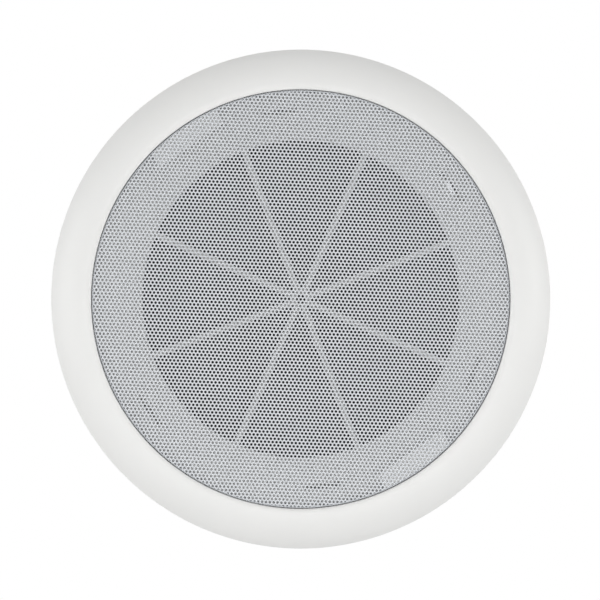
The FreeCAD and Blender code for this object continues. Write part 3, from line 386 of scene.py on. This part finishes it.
def pleated_cloth(name, radii, free, heights, pleat, rolls, look):
    """A pleated ring of cloth: height = straight line between the two lands + pleat sin^2(rolls pi t).

    t runs from 0 to 1 over the free stretch and stays there on the lands; the back lies one cloth behind.
    """
    pleats = np.linspace(*free, CLOTH_ROLL_POINTS * rolls + 1)
    radius = np.unique(np.concatenate([np.linspace(*radii, CLOTH_POINTS), pleats]))
    share = np.clip((radius - free[0]) / (free[1] - free[0]), 0, 1)
    front = heights[0] + (heights[1] - heights[0]) * share + pleat * np.sin(rolls * np.pi * share) ** 2
    outline = np.concatenate([np.stack([radius, front - CLOTH], axis=-1),
                              np.stack([radius, front], axis=-1)[::-1]])
    mesh = revolved(name, outline, CLOTH_STEPS)
    piece = put_piece(name, mesh, look)
    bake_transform(piece, "housing", "moving_cone", start=(free[1], 0, 0), end=(free[0], 0, 0))
    follow = 1 - np.clip((outline[:, 0] - free[0]) / (free[1] - free[0]), 0, 1)
    follow = follow * follow * (3 - 2 * follow)
    weights = np.tile(follow, CLOTH_STEPS).astype(np.float32)
    mesh.attributes["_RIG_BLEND"].data.foreach_set("value", weights)
    return piece


def surround(look):
    """The pleated cloth ring between the cone's lip and the basket's ledge."""
    piece = pleated_cloth("surround_pleats", (SURROUND_INNER, SURROUND_OUTER), SURROUND_FREE,
                          SURROUND_HEIGHTS, SURROUND_PLEAT, SURROUND_ROLLS, look)
    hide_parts("surround")


def spider(look):
    """The pleated cloth ring that centres the coil."""
    piece = pleated_cloth("spider_pleats", (SPIDER_INNER, SPIDER_OUTER), SPIDER_FREE, SPIDER_HEIGHTS,
                          SPIDER_PLEAT, SPIDER_ROLLS, look)
    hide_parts("spider")


def lead(colour, side, look):
    """A braided lead on a curve of second degree: guide points weighted by (1 - t)^2, 2 t (1 - t) and t^2.

    The braid is two sets of strands that wind opposite ways: its radius follows the higher of their crowns.
    """
    share = np.linspace(0, 1, LEAD_STEPS)[:, None]
    weights = np.concatenate([(1 - share) ** 2, 2 * share * (1 - share), share ** 2], axis=1)
    distance, height = (weights @ np.array(LEAD_GUIDES)).T
    aside = np.full_like(distance, LEAD_ASIDE * side)
    path = turned(distance, aside, height, TERMINAL_ANGLE)
    along = np.gradient(path, axis=0)
    along /= np.linalg.norm(along, axis=1)[:, None]
    across = np.broadcast_to(turned(0.0, 1.0, 0.0, TERMINAL_ANGLE), path.shape)
    normal = np.cross(across, along)
    turn = np.arange(LEAD_SIDES)[None, :] * TURN / LEAD_SIDES
    crowns = [np.cos(LEAD_STRANDS * turn + way * LEAD_WINDS * TURN * share) for way in (-1, 1)]
    radius = LEAD_RADIUS * (1 - LEAD_CROWN + LEAD_CROWN * np.maximum(*crowns))
    name = f"lead_braid_{colour}"
    piece = put_piece(name, wire(name, path, normal, across, radius), look)
    # The lead is fast in its lug for 20 points of its path, and fast on the cone for its last 8
    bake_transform(piece, "housing", "moving_cone", start=path[20], end=path[-8])
    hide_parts(f"lead_{colour}")


def button(colour, side, look):
    """A push button: rings of a rounded square, |x|^n + |y|^n = 1, stacked from its inner end to its top.

    The edge is a quarter round; the dish falls by depth (1 - s^2), with s the share of the top's half width.
    """
    inner, outer = BUTTON_ENDS
    round_turn = np.linspace(0, np.pi / 2, BUTTON_ROUND_POINTS)
    top = BUTTON_HALF - BUTTON_ROUND
    share = np.linspace(1, BUTTON_CLOSED, BUTTON_TOP_POINTS)[1:]
    half = np.concatenate([[BUTTON_CLOSED * BUTTON_HALF, BUTTON_HALF],
                           top + BUTTON_ROUND * np.cos(round_turn), top * share])
    height = np.concatenate([[inner, inner], outer + BUTTON_ROUND * (1 - np.sin(round_turn)),
                             outer + BUTTON_DISH * (1 - share ** 2)])
    turn = np.arange(BUTTON_SIDES) * TURN / BUTTON_SIDES
    power = np.abs(np.cos(turn)) ** BUTTON_SQUARE + np.abs(np.sin(turn)) ** BUTTON_SQUARE
    square = power ** (-1 / BUTTON_SQUARE)
    steps = np.ones_like(height)
    path = turned(BUTTON_PLACE * steps, LEAD_ASIDE * side * steps, height, TERMINAL_ANGLE)
    normal = turned(steps, 0 * steps, 0 * steps, TERMINAL_ANGLE)
    binormal = turned(0 * steps, -steps, 0 * steps, TERMINAL_ANGLE)
    name = f"push_button_{colour}"
    piece = put_piece(name, wire(name, path, normal, binormal, half[:, None] * square), look)
    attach(piece, f"{colour}_button")
    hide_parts(f"button_{colour}")


def rivet(side, look):
    """A rivet: a plain shank, then a domed head.

    At angle a of the dome, radius = R cos a / cos(first a), height = seat + H (sin a - sunk) / (1 - sunk).
    """
    shank, seat, crown = RIVET_ENDS
    dome = np.linspace(*RIVET_DOME, RIVET_DOME_POINTS)
    radius = np.concatenate([np.full(2, RIVET_RADII[0]), RIVET_RADII[1] * np.cos(dome) / np.cos(dome[0])])
    rise = (np.sin(dome) - RIVET_SUNK) / (1 - RIVET_SUNK)
    height = np.concatenate([[shank, seat], seat + (crown - seat) * rise])
    steps = np.ones_like(height)
    path = turned(RIVET_PLACE * steps, RIVET_ASIDE * side * steps, height, TERMINAL_ANGLE)
    normal = turned(steps, 0 * steps, 0 * steps, TERMINAL_ANGLE)
    binormal = turned(0 * steps, steps, 0 * steps, TERMINAL_ANGLE)
    name = "rivet_left" if side < 0 else "rivet_right"
    rings = radius[:, None] * np.ones(RIVET_SIDES)
    piece = put_piece(name, wire(name, path, normal, binormal, rings), look)
    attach(piece, "housing")
    return piece


def clamp_spring(letter, look):
    """A torsion spring: a leg along the arm, then turns round the pin, then a leg onto the bracket.

    On the turns, distance = pin - R sin t, height = pin + R cos t, and the wire moves evenly along the pin.
    """
    angle = CLAMP_ANGLES[letter]
    turn = np.linspace(0, SPRING_TURNS * TURN, SPRING_TURN_POINTS * SPRING_TURNS)
    legs = np.linspace(0, 1, SPRING_LEG_POINTS)[:-1]
    zeros = np.zeros_like(legs)
    away = np.concatenate([SPRING_LONG_LEG * (1 - legs), -SPRING_RADIUS * np.sin(turn),
                           -SPRING_SHORT_LEG * (1 - legs[::-1])])
    rise = np.concatenate([zeros + SPRING_RADIUS, SPRING_RADIUS * np.cos(turn), zeros + SPRING_RADIUS])
    aside = np.concatenate([zeros - SPRING_HALF, SPRING_HALF * (2 * turn / turn[-1] - 1),
                            zeros + SPRING_HALF])
    path = turned(PIN_PLACE + away, aside, PIN_HEIGHT + rise, angle)
    lean = np.concatenate([zeros, turn, zeros])
    normal = turned(-np.sin(lean), 0 * lean, np.cos(lean), angle)
    along = np.gradient(path, axis=0)
    binormal = np.cross(along, normal)
    binormal /= np.linalg.norm(binormal, axis=1)[:, None]
    name = f"clamp_spring_wire_{letter}"
    piece = put_piece(name, wire(name, path, normal, binormal, SPRING_WIRE), look)
    sides = np.array([SPRING_HALF, -SPRING_HALF])
    ends = turned(np.full(2, PIN_PLACE), sides, np.full(2, PIN_HEIGHT), angle)
    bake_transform(piece, "housing", f"clamp_{letter}", start=ends[0], end=ends[1])
    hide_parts(f"clamp_spring_{letter}")


def new_group(name, inputs, outputs):
    """An empty shader group with a vector input, named number inputs with defaults, and number outputs."""
    group = bpy.data.node_groups.new(name, "ShaderNodeTree")
    group.interface.new_socket("Vector", in_out="INPUT", socket_type="NodeSocketVector")
    for label, default in inputs.items():
        socket = group.interface.new_socket(label, in_out="INPUT", socket_type="NodeSocketFloat")
        socket.default_value = default
    for label in outputs:
        group.interface.new_socket(label, in_out="OUTPUT", socket_type="NodeSocketFloat")
    return group, group.nodes.new("NodeGroupInput"), group.nodes.new("NodeGroupOutput")


def math_node(tree, operation, *values):
    """A Math node whose inputs are numbers or other nodes' outputs."""
    node = tree.nodes.new("ShaderNodeMath")
    node.operation = operation
    for socket, value in zip(node.inputs, values):
        if isinstance(value, bpy.types.NodeSocket):
            tree.links.new(value, socket)
        else:
            socket.default_value = value
    return node.outputs[0]


def noise_node(tree, vector, scale, detail, rough=0.5):
    """A Noise Texture on a vector; scale may be another node's output."""
    node = tree.nodes.new("ShaderNodeTexNoise")
    tree.links.new(vector, node.inputs["Vector"])
    if isinstance(scale, bpy.types.NodeSocket):
        tree.links.new(scale, node.inputs["Scale"])
    else:
        node.inputs["Scale"].default_value = scale
    node.inputs["Detail"].default_value = detail
    node.inputs["Roughness"].default_value = rough
    return node.outputs["Fac"]


def grain_group():
    """Moulded or sprayed skin: fine grain as height, and broad soft patches for colour and gloss."""
    group, given, result = new_group("skin_grain", {"Grain": 4000.0, "Patch": 40.0}, ("Height", "Patches"))
    vector = given.outputs["Vector"]
    fine = noise_node(group, vector, given.outputs["Grain"], 3.0)
    broad = noise_node(group, vector, given.outputs["Patch"], 4.0, 0.6)
    group.links.new(fine, result.inputs["Height"])
    group.links.new(broad, result.inputs["Patches"])
    return group


def turned_group():
    """Turned or brushed metal: fine lines by distance from the loudspeaker's axis, with broad stains."""
    group, given, result = new_group("turned_lines", {"Lines": 9000.0, "Patch": 60.0}, ("Height", "Patches"))
    vector = given.outputs["Vector"]
    parts = group.nodes.new("ShaderNodeSeparateXYZ")
    group.links.new(vector, parts.inputs[0])
    squares = [math_node(group, "POWER", parts.outputs[axis], 2.0) for axis in ("X", "Z")]
    radius = math_node(group, "SQRT", math_node(group, "ADD", *squares))
    line_place = group.nodes.new("ShaderNodeCombineXYZ")
    group.links.new(radius, line_place.inputs["X"])
    group.links.new(parts.outputs["Y"], line_place.inputs["Y"])
    lines = noise_node(group, line_place.outputs[0], given.outputs["Lines"], 2.0)
    broad = noise_node(group, vector, given.outputs["Patch"], 5.0, 0.65)
    group.links.new(lines, result.inputs["Height"])
    group.links.new(broad, result.inputs["Patches"])
    return group


def weave_group():
    """Woven cloth: two crossing sets of threads as height, and which set lies on top as patches."""
    group, given, result = new_group("cloth_weave", {"Threads": 1400.0, "Patch": 90.0},
                                     ("Height", "Patches"))
    vector = given.outputs["Vector"]
    parts = group.nodes.new("ShaderNodeSeparateXYZ")
    group.links.new(vector, parts.inputs[0])
    pace = math_node(group, "MULTIPLY", given.outputs["Threads"], TURN)
    turns = [math_node(group, "MULTIPLY", parts.outputs[axis], pace) for axis in ("X", "Z")]
    crests = [math_node(group, "SINE", turn) for turn in turns]
    group.links.new(math_node(group, "MULTIPLY", *crests), result.inputs["Height"])
    group.links.new(noise_node(group, vector, given.outputs["Patch"], 4.0, 0.7), result.inputs["Patches"])
    return group


def finish(name, group, values, colours, gloss, bump, metallic=0.0, **sockets):
    """A finish: the group's patches mix two colours and two roughness values; its height is the relief."""
    material = bpy.data.materials.new(name)
    material.use_nodes = True
    tree = material.node_tree
    shader = tree.nodes["Principled BSDF"]
    place = tree.nodes.new("ShaderNodeTexCoord")
    skin = tree.nodes.new("ShaderNodeGroup")
    skin.node_tree = group
    tree.links.new(place.outputs["Object"], skin.inputs["Vector"])
    for label, value in values.items():
        skin.inputs[label].default_value = value
    tint = tree.nodes.new("ShaderNodeMix")
    tint.data_type = "RGBA"
    for number, colour in zip(MIX_COLOURS, colours):
        tint.inputs[number].default_value = (*colour, 1)
    tree.links.new(skin.outputs["Patches"], tint.inputs[0])
    tree.links.new(tint.outputs[MIX_COLOUR_OUT], shader.inputs["Base Color"])
    spread = tree.nodes.new("ShaderNodeMapRange")
    spread.inputs["To Min"].default_value = gloss[0]
    spread.inputs["To Max"].default_value = gloss[1]
    tree.links.new(skin.outputs["Patches"], spread.inputs["Value"])
    tree.links.new(spread.outputs[0], shader.inputs["Roughness"])
    relief = tree.nodes.new("ShaderNodeBump")
    relief.inputs["Strength"].default_value = bump[0]
    relief.inputs["Distance"].default_value = bump[1]
    tree.links.new(skin.outputs["Height"], relief.inputs["Height"])
    tree.links.new(relief.outputs[0], shader.inputs["Normal"])
    shader.inputs["Metallic"].default_value = metallic
    for label, value in sockets.items():
        shader.inputs[label.replace("_", " ")].default_value = value
    return material


def finishes():
    """Every finish of the loudspeaker, by the record's slot, and the dust cap's own."""
    grain = grain_group()
    lines = turned_group()
    weave = weave_group()
    return {
        "frame_white": finish("satin_white_moulding", grain, {"Grain": 5200, "Patch": 22},
                              ((0.80, 0.80, 0.785), (0.82, 0.82, 0.808)), (0.36, 0.46), (0.12, 0.00004)),
        "grille_white": finish("white_powder_coat", grain, {"Grain": 2600, "Patch": 30},
                               ((0.642, 0.66, 0.686), (0.66, 0.678, 0.705)), (0.46, 0.58), (0.2, 0.00005)),
        "basket_zinc": finish("zinc_plated_pressing", grain, {"Grain": 1300, "Patch": 70},
                              ((0.2, 0.2, 0.193), (0.31, 0.31, 0.295)), (0.3, 0.48), (0.1, 0.00004), 1.0),
        "gasket_foam": finish("closed_cell_foam", grain, {"Grain": 1800, "Patch": 120},
                              ((0.02, 0.02, 0.02), (0.05, 0.05, 0.05)), (0.85, 0.98), (0.8, 0.0003)),
        "surround_cloth": finish("coated_black_cloth", weave, {"Threads": 1300, "Patch": 90},
                                 ((0.018, 0.018, 0.02), (0.04, 0.04, 0.044)), (0.6, 0.8), (0.5, 0.0001)),
        "spider_cloth": finish("resin_tan_cloth", weave, {"Threads": 1100, "Patch": 70},
                               ((0.34, 0.2, 0.07), (0.5, 0.33, 0.13)), (0.5, 0.75), (0.6, 0.00012)),
        "cone_black": finish("matt_dark_cone", grain, {"Grain": 2200, "Patch": 80},
                             ((0.014, 0.014, 0.016), (0.026, 0.026, 0.029)), (0.5, 0.66), (0.3, 0.00008)),
        "dust_cap": finish("satin_dark_cap", grain, {"Grain": 2200, "Patch": 110},
                           ((0.036, 0.036, 0.039), (0.054, 0.054, 0.058)), (0.44, 0.6), (0.25, 0.00008)),
        "former_aluminium": finish("thin_aluminium", lines, {"Lines": 6000, "Patch": 80},
                                   ((0.7, 0.7, 0.71), (0.84, 0.84, 0.85)),
                                   (0.25, 0.4), (0.15, 0.00003), 1.0),
        "copper_wire": finish("enamelled_copper", lines, {"Lines": 5000, "Patch": 150},
                              ((0.55, 0.22, 0.09), (0.78, 0.38, 0.2)), (0.24, 0.4), (0.4, 0.00006), 1.0),
        "plated_steel": finish("zinc_plate", lines, {"Lines": 7000, "Patch": 45},
                               ((0.42, 0.42, 0.41), (0.58, 0.58, 0.55)), (0.26, 0.44), (0.2, 0.00003), 1.0),
        "ferrite": finish("ground_ferrite", grain, {"Grain": 2400, "Patch": 90},
                          ((0.035, 0.036, 0.04), (0.075, 0.076, 0.082)), (0.42, 0.68), (0.4, 0.00012)),
        "terminal_black": finish("black_moulding", grain, {"Grain": 4200, "Patch": 120},
                                 ((0.012, 0.012, 0.013), (0.024, 0.024, 0.026)),
                                 (0.4, 0.55), (0.2, 0.00005)),
        "button_red": finish("gloss_red_moulding", grain, {"Grain": 2000, "Patch": 160},
                             ((0.5, 0.014, 0.012), (0.6, 0.024, 0.02)), (0.16, 0.28), (0.08, 0.00003)),
        "button_black": finish("gloss_black_moulding", grain, {"Grain": 2000, "Patch": 160},
                               ((0.01, 0.01, 0.011), (0.022, 0.022, 0.024)), (0.16, 0.28), (0.08, 0.00003)),
        "lug_brass": finish("stamped_brass", grain, {"Grain": 3000, "Patch": 300},
                            ((0.6, 0.43, 0.16), (0.78, 0.6, 0.3)), (0.24, 0.42), (0.15, 0.00003), 1.0),
        "rivet_aluminium": finish("plain_aluminium", grain, {"Grain": 3000, "Patch": 300},
                                  ((0.62, 0.62, 0.63), (0.8, 0.8, 0.81)), (0.26, 0.42), (0.2, 0.00003), 1.0),
        "clamp_steel": finish("zinc_sheet", grain, {"Grain": 1200, "Patch": 110},
                              ((0.52, 0.52, 0.5), (0.7, 0.7, 0.66)), (0.28, 0.46), (0.12, 0.00003), 1.0),
        "foot_rubber": finish("matt_rubber", grain, {"Grain": 2400, "Patch": 130},
                              ((0.02, 0.02, 0.02), (0.04, 0.04, 0.041)), (0.7, 0.88), (0.35, 0.00008)),
        "pin_steel": finish("drawn_rod", grain, {"Grain": 2600, "Patch": 200},
                            ((0.55, 0.55, 0.54), (0.7, 0.7, 0.69)), (0.2, 0.34), (0.12, 0.00003), 1.0),
        "spring_steel": finish("drawn_wire", grain, {"Grain": 2600, "Patch": 260},
                               ((0.4, 0.4, 0.4), (0.58, 0.58, 0.57)), (0.24, 0.38), (0.12, 0.00003), 1.0),
    }


def dress_nodes(looks):
    """Give every solid of the frame its own finish, or else that of its slot."""
    for part in frame["record"]["subparts"]:
        mesh = frame["nodes"][part["node"]].data
        mesh.materials.clear()
        mesh.materials.append(looks.get(part["node"], looks[part["material_slot"]]))


def soft_lamp(name, place, aim, width, height, watts):
    """A large area lamp at a place, turned to face the aim."""
    lamp = bpy.data.lights.new(name, "AREA")
    lamp.shape = "RECTANGLE"
    lamp.size = width
    lamp.size_y = height
    lamp.energy = watts
    holder = bpy.data.objects.new(name, lamp)
    holder.location = place
    heading = np.asarray(aim, float) - np.asarray(place, float)
    turn = math.atan2(heading[0], -heading[1])
    tip = math.acos(-heading[2] / np.linalg.norm(heading))
    holder.rotation_euler = (tip, 0, math.pi + turn)
    bpy.context.scene.collection.objects.link(holder)


def lamps():
    """Two soft boxes left and right, a weak one behind the camera, and a low strip in front."""
    for settings in SOFT_LAMPS:
        soft_lamp(*settings)


def surroundings():
    """A white surrounding: full white to the eye and in reflections, softer as light.

    Its light is a mean level plus the lean times the direction: stronger from behind and below.
    """
    world = bpy.data.worlds.new("white_studio")
    bpy.context.scene.world = world
    world.use_nodes = True
    tree = world.node_tree
    tree.nodes.clear()
    place = tree.nodes.new("ShaderNodeTexCoord")
    lean = tree.nodes.new("ShaderNodeVectorMath")
    lean.operation = "DOT_PRODUCT"
    lean.inputs[1].default_value = LIGHT_LEAN
    tree.links.new(place.outputs["Generated"], lean.inputs[0])
    light = math_node(tree, "ADD", lean.outputs["Value"], LIGHT_MEAN)
    rays = tree.nodes.new("ShaderNodeLightPath")
    seen = math_node(tree, "MAXIMUM", rays.outputs["Is Camera Ray"], rays.outputs["Is Glossy Ray"])
    seen = math_node(tree, "MAXIMUM", seen, rays.outputs["Is Transmission Ray"])
    background = tree.nodes.new("ShaderNodeBackground")
    background.inputs["Color"].default_value = (1, 1, 1, 1)
    strength = tree.nodes.new("ShaderNodeMix")
    tree.links.new(seen, strength.inputs[0])
    tree.links.new(light, strength.inputs[MIX_VALUES[0]])
    strength.inputs[MIX_VALUES[1]].default_value = 1
    tree.links.new(strength.outputs[0], background.inputs["Strength"])
    output = tree.nodes.new("ShaderNodeOutputWorld")
    tree.links.new(background.outputs[0], output.inputs["Surface"])


def floor():
    """A pale floor under the loudspeaker, below the camera's view, seen whiter towards its edges."""
    across = np.linspace(*FLOOR_SPAN[0], FLOOR_STEPS)[:, None]
    deep = np.linspace(*FLOOR_SPAN[1], FLOOR_STEPS)[None, :]
    points = stand(across, np.full((1, 1), FLOOR_HEIGHT), -deep)
    mesh = put_mesh("floor", points, grid_faces(FLOOR_STEPS, FLOOR_STEPS, False, False))
    pale = finish("pale_floor", bpy.data.node_groups["skin_grain"], {"Grain": 300, "Patch": 3},
                  ((0.78, 0.78, 0.78), (0.81, 0.81, 0.81)), (0.75, 0.85), (0.05, 0.0002))
    tree = pale.node_tree
    place = tree.nodes.new("ShaderNodeTexCoord")
    away = tree.nodes.new("ShaderNodeVectorMath")
    away.operation = "LENGTH"
    tree.links.new(place.outputs["Object"], away.inputs[0])
    fade = tree.nodes.new("ShaderNodeMapRange")
    fade.interpolation_type = "SMOOTHSTEP"
    fade.inputs["From Min"].default_value, fade.inputs["From Max"].default_value = FLOOR_FADE
    fade.inputs["To Min"].default_value, fade.inputs["To Max"].default_value = FLOOR_LIFT
    tree.links.new(away.outputs["Value"], fade.inputs["Value"])
    rays = tree.nodes.new("ShaderNodeLightPath")
    lift = math_node(tree, "MULTIPLY", rays.outputs["Is Camera Ray"], fade.outputs[0])
    shader = tree.nodes["Principled BSDF"]
    shader.inputs["Emission Color"].default_value = (1, 1, 1, 1)
    tree.links.new(lift, shader.inputs["Emission Strength"])
    put_piece("floor", mesh, pale)


def camera():
    """The camera straight in front of the loudspeaker."""
    lens = bpy.data.cameras.new("front_camera")
    lens.lens = CAMERA_LENS
    lens.sensor_width = CAMERA_SENSOR
    lens.clip_start = CAMERA_NEAR
    holder = bpy.data.objects.new("front_camera", lens)
    holder.location = CAMERA_PLACE
    holder.rotation_euler = (math.pi / 2, 0, 0)
    bpy.context.scene.collection.objects.link(holder)
    bpy.context.scene.camera = holder
    bpy.context.scene.view_settings.view_transform = "Standard"


looks = finishes()
dress_nodes(looks)
domed_rim(looks["frame_white"])
quarters = [perforated_quarter(number, looks["grille_white"]) for number in range(QUARTERS)]
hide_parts("grille")
surround(looks["surround_cloth"])
spider(looks["spider_cloth"])
for colour, side in (("red", -1), ("black", 1)):
    lead(colour, side, looks["copper_wire"])
    button(colour, side, looks[f"button_{colour}"])
rivets = [rivet(side, looks["rivet_aluminium"]) for side in (-1, 1)]
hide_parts("terminal_rivets")
for letter in CLAMP_ANGLES:
    clamp_spring(letter, looks["spring_steel"])
lamps()
surroundings()
floor()
camera()
